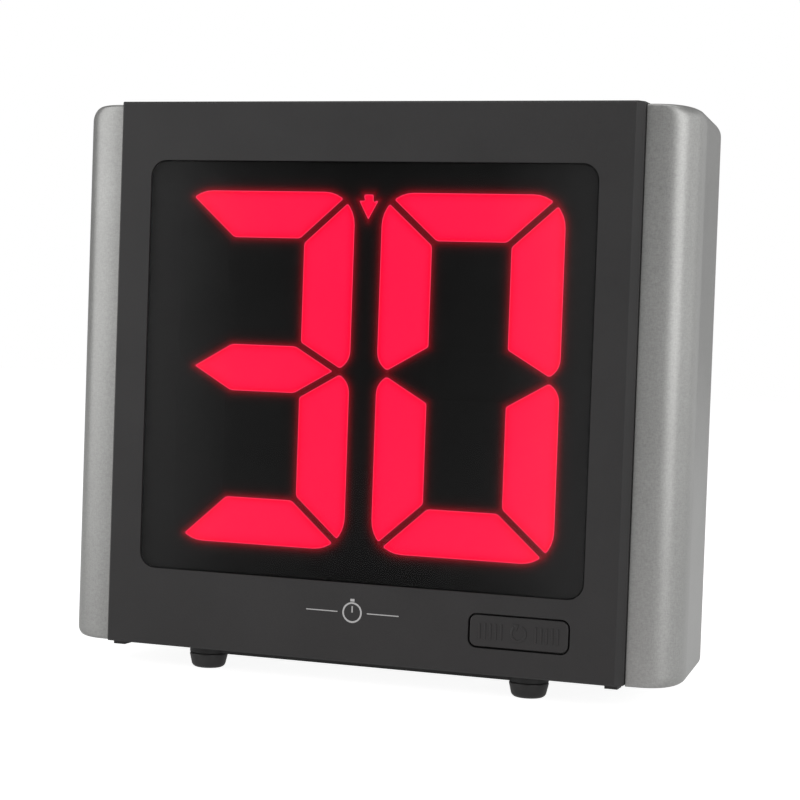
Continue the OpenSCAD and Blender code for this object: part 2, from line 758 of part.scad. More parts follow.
// ---------------------------------------------------------------- fasteners

module housing_screws() color("#b8b8b8")
    for (s = [-1, 1], z = housing_boss_z) screw_y(s * boss_x, z, seam_y - 12, seam_y + clamp_t);

module led_board_screws() color("#b8b8b8")
    for (s = [-1, 1], z = led_post_z) screw_y(s * boss_x, z, led_y - 7, led_y + board_t);

// Screws of the main board, from the front, and of the reset board, from the rear.
module board_screws() color("#b8b8b8") {
    for (s = [-1, 1], z = main_post_z) screw_y(s * main_post_x, z, main_y + 8, main_y, -1);
    for (s = [-1, 1])
        screw_y(reset_x + s * reset_post_x, reset_post_z, reset_board_y - 6, reset_board_y + board_t);
}

module base_plate_screws() color("#8a8a8a")
    for (s = [-1, 1], y = base_screw_y)
        translate([s * base_screw_x, y, foot_h]) rotate([180, 0, 0]) screw(9);

module end_cap_screws() color("#b8b8b8")
    for (s = [-1, 1], z = cap_screw_z)
        translate([s * side_in, cap_screw_y, z]) rotate([0, -s * 90, 0]) screw(9);

// ---------------------------------------------------------------- nodes

front_housing();
rear_housing();
end_cap(-1);  // left_end_cap
end_cap(1);  // right_end_cap
base_plate();
foot(-foot_x, -foot_y);  // front_left_foot
foot(foot_x, -foot_y);  // front_right_foot
foot(-foot_x, foot_y);  // rear_left_foot
foot(foot_x, foot_y);  // rear_right_foot
window_lens();
display_mask();
light_box();
led_board();
display_leds();
display_drivers();
diffuser(-1, "a");  // tens_segment_a
diffuser(-1, "b");  // tens_segment_b
diffuser(-1, "c");  // tens_segment_c
diffuser(-1, "d");  // tens_segment_d
diffuser(-1, "e");  // tens_segment_e
diffuser(-1, "f");  // tens_segment_f
diffuser(-1, "g");  // tens_segment_g
diffuser(1, "a");  // units_segment_a
diffuser(1, "b");  // units_segment_b
diffuser(1, "c");  // units_segment_c
diffuser(1, "d");  // units_segment_d
diffuser(1, "e");  // units_segment_e
diffuser(1, "f");  // units_segment_f
diffuser(1, "g");  // units_segment_g
countdown_arrow();
reset_button();
reset_plunger();
reset_switch();
reset_board();
main_board();
microcontroller();
capacitors();
ribbon_headers();
display_ribbon();
reset_cable();
key_button(key_x[0]);  // set_button
key_button(key_x[1]);  // up_button
key_button(key_x[2]);  // down_button
key_switches();
power_slider();
power_switch();
dc_jack();
dc_jack_pin();
buzzer();
battery_cover();
coin_cell();
battery_contact();
housing_screws();
led_board_screws();
board_screws();
base_plate_screws();
end_cap_screws();
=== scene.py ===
"""The looks of a gym round timer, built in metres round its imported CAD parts."""
import json
import math

import bmesh
import bpy
import numpy as np
from mathutils import Matrix, Vector
from mathutils.geometry import delaunay_2d_cdt


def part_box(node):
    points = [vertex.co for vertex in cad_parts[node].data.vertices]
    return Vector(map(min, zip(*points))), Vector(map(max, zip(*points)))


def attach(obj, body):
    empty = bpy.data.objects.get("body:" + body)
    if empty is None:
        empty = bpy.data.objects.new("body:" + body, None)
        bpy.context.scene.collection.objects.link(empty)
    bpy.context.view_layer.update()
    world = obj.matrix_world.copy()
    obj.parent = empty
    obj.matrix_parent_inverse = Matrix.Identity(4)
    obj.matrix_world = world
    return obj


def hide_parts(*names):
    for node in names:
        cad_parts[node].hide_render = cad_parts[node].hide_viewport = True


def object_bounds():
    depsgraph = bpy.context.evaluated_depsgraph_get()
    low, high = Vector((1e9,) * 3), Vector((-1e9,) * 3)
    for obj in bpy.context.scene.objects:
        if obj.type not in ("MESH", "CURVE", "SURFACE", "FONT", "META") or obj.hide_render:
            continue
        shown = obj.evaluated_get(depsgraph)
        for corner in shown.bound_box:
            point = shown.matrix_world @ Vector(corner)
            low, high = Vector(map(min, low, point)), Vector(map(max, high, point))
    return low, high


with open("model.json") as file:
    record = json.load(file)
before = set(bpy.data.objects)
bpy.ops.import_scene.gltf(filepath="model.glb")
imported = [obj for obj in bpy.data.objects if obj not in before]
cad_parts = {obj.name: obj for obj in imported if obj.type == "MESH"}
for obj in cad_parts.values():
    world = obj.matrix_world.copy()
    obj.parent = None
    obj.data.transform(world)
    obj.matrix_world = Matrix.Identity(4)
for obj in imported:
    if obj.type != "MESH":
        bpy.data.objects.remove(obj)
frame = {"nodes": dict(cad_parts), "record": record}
nodes = frame["nodes"]
record = frame["record"]
cad_low, cad_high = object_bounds()

MM = 0.001
BODY = "housing"

# Edges that turn more than this are shaded sharp. The caps and diffusers, with wider facets, use the second.
SHARP = math.radians(32)
SHARPER = math.radians(50)

# The radius of a turned shape's first and last ring, which stand for points on its axis.
ON_AXIS = 0.0001 * MM

# The segments that are lit in each digit: a 3 and a 0.
LIT = {"tens": "abcdg", "units": "abcdef"}

# ------------------------------------------------------------------ places, read from the frame

front_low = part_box("front_housing")[0]
face_y = front_low.y
back_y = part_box("rear_housing")[1].y
base_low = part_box("base_plate")[0]
lens_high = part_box("window_lens")[1]
mask_low, mask_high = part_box("display_mask")
reset_low, reset_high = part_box("reset_button")


# ------------------------------------------------------------------ materials

# The lens covers this share of what lies behind it with its own tone, at each of its two faces.
LENS_ALPHA = 0.18
BEHIND_LENS = 1 / (1 - LENS_ALPHA) ** 2


class Shader:
    """A node material: a Principled surface, fed from object coordinates, which are the row frame's."""

    def __init__(self, name, **plain):
        self.material = bpy.data.materials.new(name)
        self.material.use_nodes = True
        self.tree = self.material.node_tree
        self.surface = self.tree.nodes["Principled BSDF"]
        self.place = self.tree.nodes.new("ShaderNodeTexCoord").outputs["Object"]
        for socket, value in plain.items():
            self.set(socket.replace("_", " ").title(), value)

    def set(self, socket, value):
        """Gives a socket of the surface a constant value."""
        target = self.surface.inputs["Specular IOR Level" if socket == "Specular" else socket]
        if target.type == "RGBA":
            value = (*value, 1)
        target.default_value = value

    def node(self, kind, inputs=(), **settings):
        """A new node of a kind, with its settings made and its inputs fed."""
        made = self.tree.nodes.new("ShaderNode" + kind)
        for key, value in settings.items():
            setattr(made, key, value)
        for key, value in dict(inputs).items():
            self.feed(made.inputs[key], value)
        return made

    def feed(self, socket, value):
        """Links a node's output to a socket, or gives the socket a constant value."""
        if isinstance(value, bpy.types.NodeSocket):
            self.tree.links.new(value, socket)
        else:
            socket.default_value = value

    def stretched(self, scale):
        """Object coordinates scaled by a factor along each axis."""
        return self.node("Mapping", {"Vector": self.place, "Scale": scale}).outputs["Vector"]

    def noise(self, size, detail=2.0, roughness=0.5, vector=None):
        """Cloudy noise whose features are about size metres across."""
        made = self.node("TexNoise", {
            "Vector": vector or self.place, "Scale": 1 / size, "Detail": detail, "Roughness": roughness})
        return made.outputs["Fac"]

    def cells(self, size, output="Distance"):
        """Cells about size metres across."""
        return self.node("TexVoronoi", {"Vector": self.place, "Scale": 1 / size}).outputs[output]

    def math(self, operation, a, b=0.0):
        """The result of an arithmetic operation on sockets or constants."""
        return self.node("Math", {0: a, 1: b}, operation=operation).outputs[0]

    def between(self, value, low, high, start=0.3, end=0.7):
        """A value taken from the range start to end into the range low to high."""
        made = self.node("MapRange", {
            "Value": value, "From Min": start, "From Max": end, "To Min": low, "To Max": high})
        return made.outputs["Result"]

    def ramp(self, value, stops):
        """A colour ramp with (position, colour) stops."""
        made = self.node("ValToRGB", {"Fac": value})
        elements = made.color_ramp.elements
        while len(elements) < len(stops):
            elements.new(0.5)
        for element, (position, colour) in zip(elements, stops):
            element.position = position
            element.color = (*colour, 1)
        return made.outputs["Color"]

    def mix(self, share, a, b, blend="MIX"):
        """Two colours, each a socket or a constant, blended by a share."""
        made = self.node("Mix", data_type="RGBA", blend_type=blend)
        for socket, value in ((made.inputs[0], share), (made.inputs[6], a), (made.inputs[7], b)):
            self.feed(socket, (*value, 1) if isinstance(value, tuple) and len(value) == 3 else value)
        return made.outputs[2]

    def colour(self, value):
        self.feed(self.surface.inputs["Base Color"], value)

    def roughness(self, value):
        self.feed(self.surface.inputs["Roughness"], value)

    def bump(self, height, depth, strength=1.0):
        """Raises the surface by up to depth metres where height is 1."""
        made = self.node("Bump", {"Height": height, "Distance": depth, "Strength": strength})
        self.feed(self.surface.inputs["Normal"], made.outputs["Normal"])


def scaled(colour, factor):
    return tuple(min(1.0, c * factor) for c in colour)


def moulded(name, colour, roughness, grain=0.6 * MM, depth=0.02 * MM, spread=0.16, specular=0.4):
    """Moulded plastic: a fine spark-eroded grain, faint clouding and uneven gloss."""
    s = Shader(name, specular=specular)
    clouds = s.noise(28 * MM, 3)
    grit = s.noise(grain, 2, 0.6)
    tint = s.ramp(clouds, [(0.3, scaled(colour, 1 - spread / 2)), (0.7, scaled(colour, 1 + spread / 2))])
    specks = s.ramp(grit, [(0.35, scaled((1, 1, 1), 0.86)), (0.65, (1, 1, 1))])
    s.colour(s.mix(0.8, tint, specks, "MULTIPLY"))
    s.roughness(s.between(grit, roughness - 0.05, roughness + 0.07))
    s.bump(grit, depth)
    return s.material


def silver_paint(name):
    """Satin silver paint over a moulding: flake sparkle, a fine cross grain and slight clouding."""
    s = Shader(name, metallic=0.62, coat_weight=0.12, coat_roughness=0.3, specular=0.5)
    flakes = s.cells(0.32 * MM, "Color")
    flake = s.node("SeparateColor", {"Color": flakes}).outputs[0]
    grain = s.noise(0.5 * MM, 2, 0.6, s.stretched((1, 1, 0.35)))
    weave = s.noise(0.5 * MM, 2, 0.6, s.stretched((0.35, 0.35, 1)))
    both = s.math("ADD", s.math("MULTIPLY", grain, 0.5), s.math("MULTIPLY", weave, 0.5))
    clouds = s.noise(45 * MM, 3)
    tint = s.ramp(clouds, [(0.3, (0.395, 0.395, 0.385)), (0.7, (0.43, 0.43, 0.42))])
    speck = s.ramp(both, [(0.36, (0.80, 0.80, 0.80)), (0.64, (1, 1, 1))])
    spark = s.ramp(flake, [(0.0, (0.92, 0.92, 0.92)), (0.9, (1, 1, 1))])
    s.colour(s.mix(1.0, s.mix(1.0, tint, speck, "MULTIPLY"), spark, "MULTIPLY"))
    s.roughness(s.between(both, 0.31, 0.40))
    s.bump(both, 0.012 * MM, 0.8)
    return s.material


def rubber(name):
    """Black bumper rubber with a soft bloom and a fine grit."""
    s = Shader(name, specular=0.45)
    bloom = s.noise(5 * MM, 3)
    grit = s.noise(0.4 * MM, 2)
    s.colour(s.ramp(bloom, [(0.3, (0.022, 0.021, 0.021)), (0.75, (0.036, 0.035, 0.035))]))
    s.roughness(s.between(bloom, 0.34, 0.5))
    s.bump(grit, 0.008 * MM)
    return s.material


def smoked(name):
    """The smoked window: thin enough to see the lit segments through. Its colour is darkest along its middle
    and lighter towards its ends, a painted reflection of the side lights.
    """
    s = Shader(name, alpha=LENS_ALPHA, roughness=0.16, specular=0.3)
    across = s.node("SeparateXYZ", {"Vector": s.place}).outputs["X"]
    # Painted reflection: the colour grows lighter with the distance from the middle towards either end,
    # where the side lights would reflect. A random dust tone is added on top.
    painted_reflection_share = s.math("DIVIDE", s.math("ABSOLUTE", across), lens_high.x)
    dust = s.noise(16 * MM, 4)
    reflection_and_dust = s.math("ADD", painted_reflection_share, s.math("MULTIPLY", s.math("SUBTRACT", dust, 0.5), 0.15))
    s.colour(s.ramp(reflection_and_dust, [
        (0.1, (0.003, 0.003, 0.003)), (0.55, (0.013, 0.013, 0.013)), (0.95, (0.064, 0.064, 0.064))]))
    s.roughness(s.between(dust, 0.13, 0.2))
    return s.material


def lit(name):
    """A lit diffuser: an even red field inside a deeper red band, and a thin pale rim that leaks light."""
    s = Shader(name, roughness=0.6, specular=0.08)
    rim = s.node("Attribute", attribute_name="rim").outputs["Fac"]
    cloud = s.noise(30 * MM, 2)
    glow = s.ramp(rim, [
        (0.0, (0.95, 0.050, 0.14)), (0.16, (1.0, 0.044, 0.13)), (0.30, (0.95, 0.0004, 0.034)),
        (0.60, (1.0, 0.0035, 0.052)), (1.0, (1.0, 0.0070, 0.0620))])
    uneven = s.ramp(cloud, [(0.3, (0.985, 0.93, 0.95)), (0.7, (1, 1, 1))])
    s.set("Base Color", (0.2, 0.001, 0.004))
    s.feed(s.surface.inputs["Emission Color"], s.mix(1.0, glow, uneven, "MULTIPLY"))
    s.set("Emission Strength", 1.02 * BEHIND_LENS)
    s.bump(s.noise(0.8 * MM, 2), 0.01 * MM)
    return s.material


def mask_black(name):
    """The flat black mask and its unlit segments, with the red that the lit segments spill on them."""
    s = Shader(name, roughness=0.7, specular=0.12)
    s.colour(s.ramp(s.noise(9 * MM, 3), [(0.3, (0.0036, 0.0036, 0.0036)), (0.7, (0.0042, 0.0042, 0.0042))]))
    glow = s.node("Attribute", attribute_name="glow").outputs["Fac"]
    s.feed(s.surface.inputs["Emission Color"], s.mix(glow, (0, 0, 0), (1.0, 0.0, 0.028)))
    s.set("Emission Strength", 0.19 * BEHIND_LENS)
    return s.material


def board_green(name):
    """A circuit board: green mask over a grid of tracks, with tinned pads."""
    s = Shader(name, specular=0.5, coat_weight=0.3, coat_roughness=0.15)
    upright = s.node("Mapping", {"Vector": s.place, "Rotation": (math.pi / 2, 0, 0)}).outputs["Vector"]
    tracks = s.node("TexBrick", {
        "Vector": upright, "Scale": 1 / (9 * MM), "Mortar Size": 0.05, "Color1": (0, 0, 0, 1),
        "Color2": (0.3, 0.3, 0.3, 1), "Mortar": (1, 1, 1, 1)}).outputs["Fac"]
    pads = s.math("LESS_THAN", s.cells(4.2 * MM), 0.16)
    base = s.mix(tracks, (0.010, 0.075, 0.030), (0.020, 0.135, 0.050))
    s.colour(s.mix(pads, base, (0.45, 0.45, 0.42)))
    s.roughness(s.between(s.noise(6 * MM, 3), 0.28, 0.42))
    s.bump(s.math("ADD", tracks, pads), 0.03 * MM)
    return s.material


def plated(name, colour, roughness=0.3):
    """Plated or bright metal, with fine draw lines and dull patches."""
    s = Shader(name, metallic=1.0)
    lines = s.noise(0.5 * MM, 3, 0.6, s.stretched((1, 0.1, 1)))
    dull = s.noise(3 * MM, 3)
    s.colour(s.ramp(dull, [(0.3, scaled(colour, 0.86)), (0.7, colour)]))
    s.roughness(s.between(lines, roughness - 0.08, roughness + 0.1))
    s.bump(lines, 0.01 * MM)
    return s.material


def striped(name, colour, other, pitch):
    """A flat cable whose parallel conductors stand pitch apart."""
    s = Shader(name, specular=0.4)
    across = s.node("SeparateXYZ", {"Vector": s.place}).outputs["X"]
    ridge = s.math("PINGPONG", s.math("DIVIDE", across, pitch), 0.5)
    s.colour(s.mix(s.math("GREATER_THAN", ridge, 0.40), colour, other))
    s.roughness(s.between(s.noise(4 * MM, 2), 0.4, 0.55))
    s.bump(ridge, 0.2 * MM)
    return s.material


def printed(name):
    """Pale grey pad print with slightly uneven ink."""
    s = Shader(name, specular=0.3)
    blotch = s.noise(0.5 * MM, 3)
    s.colour(s.ramp(blotch, [(0.3, (0.44, 0.44, 0.44)), (0.7, (0.56, 0.56, 0.56))]))
    s.roughness(s.between(blotch, 0.45, 0.6))
    return s.material


looks = {
    "housing": moulded("housing", (0.0293, 0.0283, 0.0286), 0.50, 0.75 * MM, 0.045 * MM, 0.14, 0.36),
    "rear_housing": moulded(
        "rear_housing", (0.0285, 0.0275, 0.0277), 0.54, 0.75 * MM, 0.05 * MM, 0.14, 0.34),
    "end_cap": silver_paint("end_cap"),
    "base_plate": moulded("base_plate", (0.014, 0.014, 0.014), 0.5),
    "rubber": rubber("rubber"),
    "lens": smoked("lens"),
    "mask": mask_black("mask"),
    "reflector": moulded("reflector", (0.80, 0.80, 0.78), 0.6, spread=0.05),
    "segment": lit("segment"),
    "board": board_green("board"),
    "led": moulded("led", (0.80, 0.76, 0.58), 0.3, spread=0.06),
    "chip": moulded("chip", (0.016, 0.016, 0.017), 0.45),
    "reset_button": moulded(
        "reset_button", (0.0262, 0.0250, 0.0252), 0.38, 0.5 * MM, 0.012 * MM, 0.1, 0.42),
    "switch_plunger": moulded("switch_plunger", (0.72, 0.68, 0.55), 0.45),
    "switch_case": moulded("switch_case", (0.018, 0.018, 0.018), 0.35),
    "capacitor": moulded("capacitor", (0.022, 0.028, 0.06), 0.25),
    "header": moulded("header", (0.70, 0.67, 0.58), 0.5),
    "ribbon": striped("ribbon", (0.30, 0.30, 0.29), (0.12, 0.12, 0.12), 1.27 * MM),
    "cable": striped("cable", (0.02, 0.02, 0.02), (0.008, 0.008, 0.008), 2.6 * MM),
    "key": moulded("key", (0.034, 0.034, 0.034), 0.42, 0.5 * MM, 0.012 * MM),
    "switch_shell": plated("switch_shell", (0.55, 0.55, 0.52), 0.35),
    "jack": moulded("jack", (0.013, 0.013, 0.013), 0.4),
    "pin": plated("pin", (0.70, 0.67, 0.58), 0.25),
    "buzzer": moulded("buzzer", (0.014, 0.014, 0.014), 0.35),
    "battery_cover": moulded("battery_cover", (0.026, 0.0255, 0.0255), 0.5, 0.7 * MM, 0.04 * MM),
    "cell": plated("cell", (0.62, 0.63, 0.64), 0.22),
    "contact": plated("contact", (0.60, 0.46, 0.20), 0.3),
    "screw": plated("screw", (0.52, 0.52, 0.52), 0.35),
}
ink = printed("print")

slot_of = {part["node"]: part["material_slot"] for part in record["subparts"]}
body_of = {node: body for body, members in record["behaviour"]["bodies"].items() for node in members}

for node, slot in slot_of.items():
    mesh = nodes[node].data
    mesh.materials.clear()
    mesh.materials.append(looks[slot])


# ------------------------------------------------------------------ mesh tools

# Edges flatter than this are the facets of a curve, and stay as they are.
LEAST_EDGE = math.radians(24)


def add_piece(name, bm, look, body, smooth=True, sharp=SHARP):
    """Turns a bmesh into a piece that rides on a body and fills a material slot."""
    bmesh.ops.recalc_face_normals(bm, faces=bm.faces)
    mesh = bpy.data.meshes.new(name)
    bm.to_mesh(mesh)
    bm.free()
    mesh.materials.append(look)
    if smooth:
        mesh.shade_smooth()
        mesh.set_sharp_from_angle(angle=sharp)
    piece = bpy.data.objects.new(name, mesh)
    bpy.context.scene.collection.objects.link(piece)
    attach(piece, body)
    return piece


def weighted(piece):
    """Lets the large flat faces set the shading round their softened edges."""
    modifier = piece.modifiers.new("normals", "WEIGHTED_NORMAL")
    modifier.keep_sharp = True


def node_mesh(node):
    """A clean copy of a CAD node's mesh: welded, with its flat faces whole again."""
    bm = bmesh.new()
    bm.from_mesh(nodes[node].data)
    bmesh.ops.remove_doubles(bm, verts=bm.verts, dist=2e-6)
    bmesh.ops.dissolve_limit(bm, angle_limit=math.radians(0.4), verts=bm.verts, edges=bm.edges)
    return bm


def soften(node, width, where=None, steps=2):
    """Stands for a CAD node with its edges, or those whose ends where chooses, rounded as by a mould."""
    bm = node_mesh(node)
    edges = [
        e for e in bm.edges
        if len(e.link_faces) == 2 and e.calc_face_angle(0) > LEAST_EDGE
        and (where is None or all(where(v.co) for v in e.verts))
    ]
    bmesh.ops.bevel(
        bm, geom=edges, offset=width, segments=steps, profile=0.5, affect="EDGES", clamp_overlap=True)
    piece = add_piece(node + "_shell", bm, looks[slot_of[node]], body_of[node])
    weighted(piece)
    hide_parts(node)


def arc(cx, cy, rx, ry, start, end, steps):
    """Points on an arc, angles in degrees."""
    turns = [math.radians(start + (end - start) * i / steps) for i in range(steps + 1)]
    return [(cx + rx * math.cos(t), cy + ry * math.sin(t)) for t in turns]


def loft(bm, rings):
    """Joins rings of equal length, and caps the first and the last."""
    made = [[bm.verts.new(p) for p in ring] for ring in rings]
    count = len(made[0])
    for low, high in zip(made, made[1:]):
        for i in range(count):
            j = (i + 1) % count
            bm.faces.new((low[i], low[j], high[j], high[i]))
    bm.faces.new(made[0][::-1])
    bm.faces.new(made[-1])


def lathe(bm, profile, centre, axis="Z", steps=64):
    """Turns (radius, height) points about an axis through centre. It starts and ends on the axis."""
    rings = []
    for radius, height in profile:
        ring = []
        for i in range(steps):
            a = 2 * math.pi * i / steps
            u, v = radius * math.cos(a), radius * math.sin(a)
            p = (u, v, height) if axis == "Z" else (u, height, v)
            ring.append(Vector(centre) + Vector(p))
        rings.append(ring)
    loft(bm, rings)


def prism(bm, outline, front, back, soft=0.0):
    """A plate with an outline in X and Z, from front to back along Y. Its front edge is rounded by soft."""
    face = bm.faces.new([bm.verts.new((x, back, z)) for x, z in outline])
    result = bmesh.ops.extrude_face_region(bm, geom=[face])
    top = [v for v in result["geom"] if isinstance(v, bmesh.types.BMVert)]
    bmesh.ops.translate(bm, verts=top, vec=(0, front - back, 0))
    if soft:
        top = set(top)
        rim = [e for e in bm.edges if e.verts[0] in top and e.verts[1] in top]
        bmesh.ops.bevel(bm, geom=rim, offset=soft, segments=2, profile=0.5, affect="EDGES")


def ring_outline(x, z, outer, inner, start, end, steps=40):
    """A ring between two radii, open from the end angle round to the start."""
    return arc(x, z, outer, outer, start, end, steps) + arc(x, z, inner, inner, end, start, steps)


def bar(x0, z0, x1, z1):
    """A rectangle's outline."""
    return [(x0, z0), (x1, z0), (x1, z1), (x0, z1)]


# ------------------------------------------------------------------ housings

def near_face(depth):
    """Chooses what lies less than depth behind the face."""
    return lambda p: p.y < face_y + depth


def near_back(depth):
    """Chooses what lies less than depth in front of the back."""
    return lambda p: p.y > back_y - depth


soften("front_housing", 0.35 * MM, near_face(4.4 * MM))
soften("rear_housing", 0.4 * MM, near_back(5.2 * MM))
soften("base_plate", 0.4 * MM)
soften("window_lens", 0.3 * MM)
soften("reset_button", 0.55 * MM, near_face(0.5 * MM), 3)
soften("power_slider", 0.15 * MM)
soften("battery_cover", 0.3 * MM, near_back(3 * MM))

# ------------------------------------------------------------------ end caps

# The front curve is a quarter of a superellipse, and the outer side then tapers to the back.
CAP_CURVE_D = 18.5 * MM
CAP_CURVE_N = 2.9
CAP_CURVE_STEPS = 40
CAP_TAPER = 4 * MM
CAP_BACK_R = 4 * MM

# The outer edge's radius, and the rear corner's height and depth, at the top and at the bottom.
CAP_UPPER = (6.7 * MM, 8 * MM, 14 * MM)
CAP_LOWER = (4.2 * MM, 5 * MM, 7 * MM)

# The small rounding where the sides meet the top and the bottom, and along the seam.
CAP_RIM_R = 1.1 * MM
CAP_SEAM_R = 0.35 * MM

# The depths from the top or the bottom at which the roundings are drawn, closest where they turn most.
CAP_DEPTHS = [CAP_RIM_R * (1 - math.cos(math.radians(a))) for a in range(0, 91, 15)]
CAP_DEPTHS += [d * MM for d in (1.5, 2.0, 2.6, 3.3, 4.1, 5.0, 5.9, 6.7, 7.4, 8.0)]


def cap_outline(x0, x1, y0, y1, inset):
    """The cap's plan, drawn inside by inset on every side but the seam, whose front corner is eased."""
    start = x0 + CAP_SEAM_R
    width = x1 - start - inset
    rise = CAP_CURVE_D - inset
    points = arc(start, y0 + CAP_SEAM_R + inset, CAP_SEAM_R, CAP_SEAM_R, 180, 270, 4)[:-1]
    for i in range(CAP_CURVE_STEPS + 1):
        turn = math.radians(90 * i / CAP_CURVE_STEPS)
        across = math.sin(turn) ** (2 / CAP_CURVE_N)
        ahead = max(0, math.cos(turn)) ** (2 / CAP_CURVE_N)
        points.append((start + width * across, y0 + CAP_CURVE_D - rise * ahead))
    back_r = CAP_BACK_R - inset
    points += arc(x1 - CAP_TAPER - CAP_BACK_R, y1 - CAP_BACK_R, back_r, back_r, 0, 90, 10)
    points.append((x0, y1 - inset))
    return points


def lean(depth, radius, across):
    """How far a rounding, radius high and across wide, stands inside its edge at a depth from its end."""
    return across * (1 - math.sqrt(1 - (1 - min(depth, radius) / radius) ** 2))


def end_cap(node, side):
    """A cap as a loft of plans from the bottom up, on the side that is -1 or 1."""
    low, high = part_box(node)
    x0, x1 = (low.x, high.x) if side > 0 else (-high.x, -low.x)
    levels = [(low.z + d, d, CAP_LOWER) for d in CAP_DEPTHS]
    levels += [(low.z + (high.z - low.z) * share, CAP_DEPTHS[-1], CAP_UPPER) for share in (0.25, 0.5, 0.75)]
    levels += [(high.z - d, d, CAP_UPPER) for d in reversed(CAP_DEPTHS)]
    rings = []
    for z, depth, (edge, corner, across) in levels:
        outer = x1 - lean(depth, edge, edge)
        rear = high.y - lean(depth, corner, across)
        ring = cap_outline(x0, outer, low.y, rear, lean(depth, CAP_RIM_R, CAP_RIM_R))
        rings.append([(side * x, y, z) for x, y in ring])
    bm = bmesh.new()
    loft(bm, rings)
    piece = add_piece(node + "_shell", bm, looks["end_cap"], BODY, sharp=SHARPER)
    weighted(piece)
    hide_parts(node)


end_cap("left_end_cap", -1)
end_cap("right_end_cap", 1)

# ------------------------------------------------------------------ feet

TOE_R = 7.2 * MM
TOE_ROUND = 2.4 * MM
TOE_DISH = 0.2 * MM
DISH_R = 3.2 * MM
FOOT_RIM_R = 0.9 * MM
STEM_R = 2.4 * MM


def foot(node):
    """A turned rubber bumper: a dished toe, a rounded flank, and the stem that the base plate holds."""
    low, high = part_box(node)
    radius = (high.x - low.x) / 2
    top = base_low.z
    profile = [(ON_AXIS, TOE_DISH + 0.05 * MM), (DISH_R, TOE_DISH), (TOE_R - TOE_ROUND, 0.0)]
    profile += arc(TOE_R - TOE_ROUND + 0.2 * MM, TOE_ROUND, TOE_ROUND, TOE_ROUND, 275, 345, 10)
    profile += arc(radius - FOOT_RIM_R, top - FOOT_RIM_R, FOOT_RIM_R, FOOT_RIM_R, -12, 90, 8)
    profile += [(radius - 2 * MM, top), (STEM_R, top), (STEM_R, high.z), (ON_AXIS, high.z)]
    bm = bmesh.new()
    lathe(bm, profile, ((low.x + high.x) / 2, (low.y + high.y) / 2, 0))
    piece = add_piece(node + "_bumper", bm, looks["rubber"], BODY)
    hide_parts(node)


for name in ("front_left_foot", "front_right_foot", "rear_left_foot", "rear_right_foot"):
    foot(name)

# ------------------------------------------------------------------ display

# A diffuser's rim attribute rises with the distance from its edge. The mesh has a ring at each distance.
RIM_DEPTHS = [0.0, 0.35 * MM, 0.8 * MM, 2.0 * MM, 4.0 * MM]
RIM_VALUES = [0.0, 0.18, 0.32, 0.6, 1.0]
RIM_PITCH = 1.1 * MM

# How far a diffuser's edge falls back from its middle.
PILLOW = 0.2 * MM

# The spill on the mask fades over this reach, and the mask is a grid of this pitch.
GLOW_REACH = 0.95 * MM
GLOW_PITCH = 0.8 * MM
MASK_RECESS = 0.3 * MM


def edge_distance(points, outline):
    """The distance from each point to an outline, and whether it lies inside."""
    a = np.array(outline)
    near = np.full(len(points), 1.0)
    inside = np.zeros(len(points), bool)
    for p, q in zip(a, np.roll(a, -1, axis=0)):
        along = q - p
        share = np.clip((points - p) @ along / (along @ along), 0, 1)
        near = np.minimum(near, np.linalg.norm(points - p - share[:, None] * along, axis=1))
        crosses = (p[1] > points[:, 1]) != (q[1] > points[:, 1])
        rise = q[1] - p[1] if abs(q[1] - p[1]) > 1e-12 else 1e-12
        inside ^= crosses & (points[:, 0] < along[0] * (points[:, 1] - p[1]) / rise + p[0])
    return near, inside


def walked(outline, pitch):
    """Points along an outline, with the inward normal at each."""
    a = np.array(outline)
    spots, normals = [], []
    turn = sum(p[0] * q[1] - q[0] * p[1] for p, q in zip(a, np.roll(a, -1, axis=0)))
    for p, q in zip(a, np.roll(a, -1, axis=0)):
        along = q - p
        length = np.linalg.norm(along)
        normal = np.array((-along[1], along[0])) / length * (1 if turn > 0 else -1)
        count = max(1, round(length / pitch))
        for i in range(count):
            spots.append(p + along * i / count)
            normals.append(normal)
    return np.array(spots), np.array(normals)


def segment_outline(node):
    """The outline of a segment's front face, and where its front and its back are."""
    source = node_mesh(node)
    face = min(source.faces, key=lambda f: (round(f.calc_center_median().y / MM, 2), -f.calc_area()))
    outline = [(v.co.x, v.co.z) for v in face.verts]
    front = face.calc_center_median().y
    back = max(v.co.y for v in source.verts)
    source.free()
    return outline, front, back


def diffuser(node, look, attribute, value_of):
    """A slightly pillowed diffuser for a segment. Its attribute is what value_of(points, rim) gives."""
    outline, front, back = outlines[node]
    spots, normals = walked(outline, RIM_PITCH)
    clouds = [spots]
    for width in RIM_DEPTHS[1:]:
        ring = spots + normals * width
        near, inside = edge_distance(ring, outline)
        clouds.append(ring[inside & (near > width - 0.01 * MM)])
    found = delaunay_2d_cdt(
        [Vector(p) for p in np.concatenate(clouds)], [], [list(range(len(spots)))], 1, 1e-6)
    points = np.array([tuple(p) for p in found[0]])
    rim = np.interp(edge_distance(points, outline)[0], RIM_DEPTHS, RIM_VALUES)
    bm = bmesh.new()
    layer = bm.verts.layers.float.new(attribute)
    verts = [bm.verts.new((x, front + PILLOW * (1 - r) ** 2, z)) for (x, z), r in zip(points, rim)]
    for v, value in zip(verts, value_of(points, rim)):
        v[layer] = value
    for triangle in found[2]:
        bm.faces.new([verts[i] for i in triangle])
    made = bmesh.ops.extrude_edge_only(bm, edges=[e for e in bm.edges if e.is_boundary])["geom"]
    for v in made:
        if isinstance(v, bmesh.types.BMVert):
            v.co.y = back
    piece = add_piece(node + "_diffuser", bm, look, BODY, sharp=SHARPER)
    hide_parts(node)


segments = {
    f"{digit}_segment_{letter}": letter in letters
    for digit, letters in LIT.items() for letter in "abcdefg"
}
segments["countdown_arrow"] = True
outlines = {node: segment_outline(node) for node in segments}
lit_outlines = [outlines[node][0] for node, on in segments.items() if on]


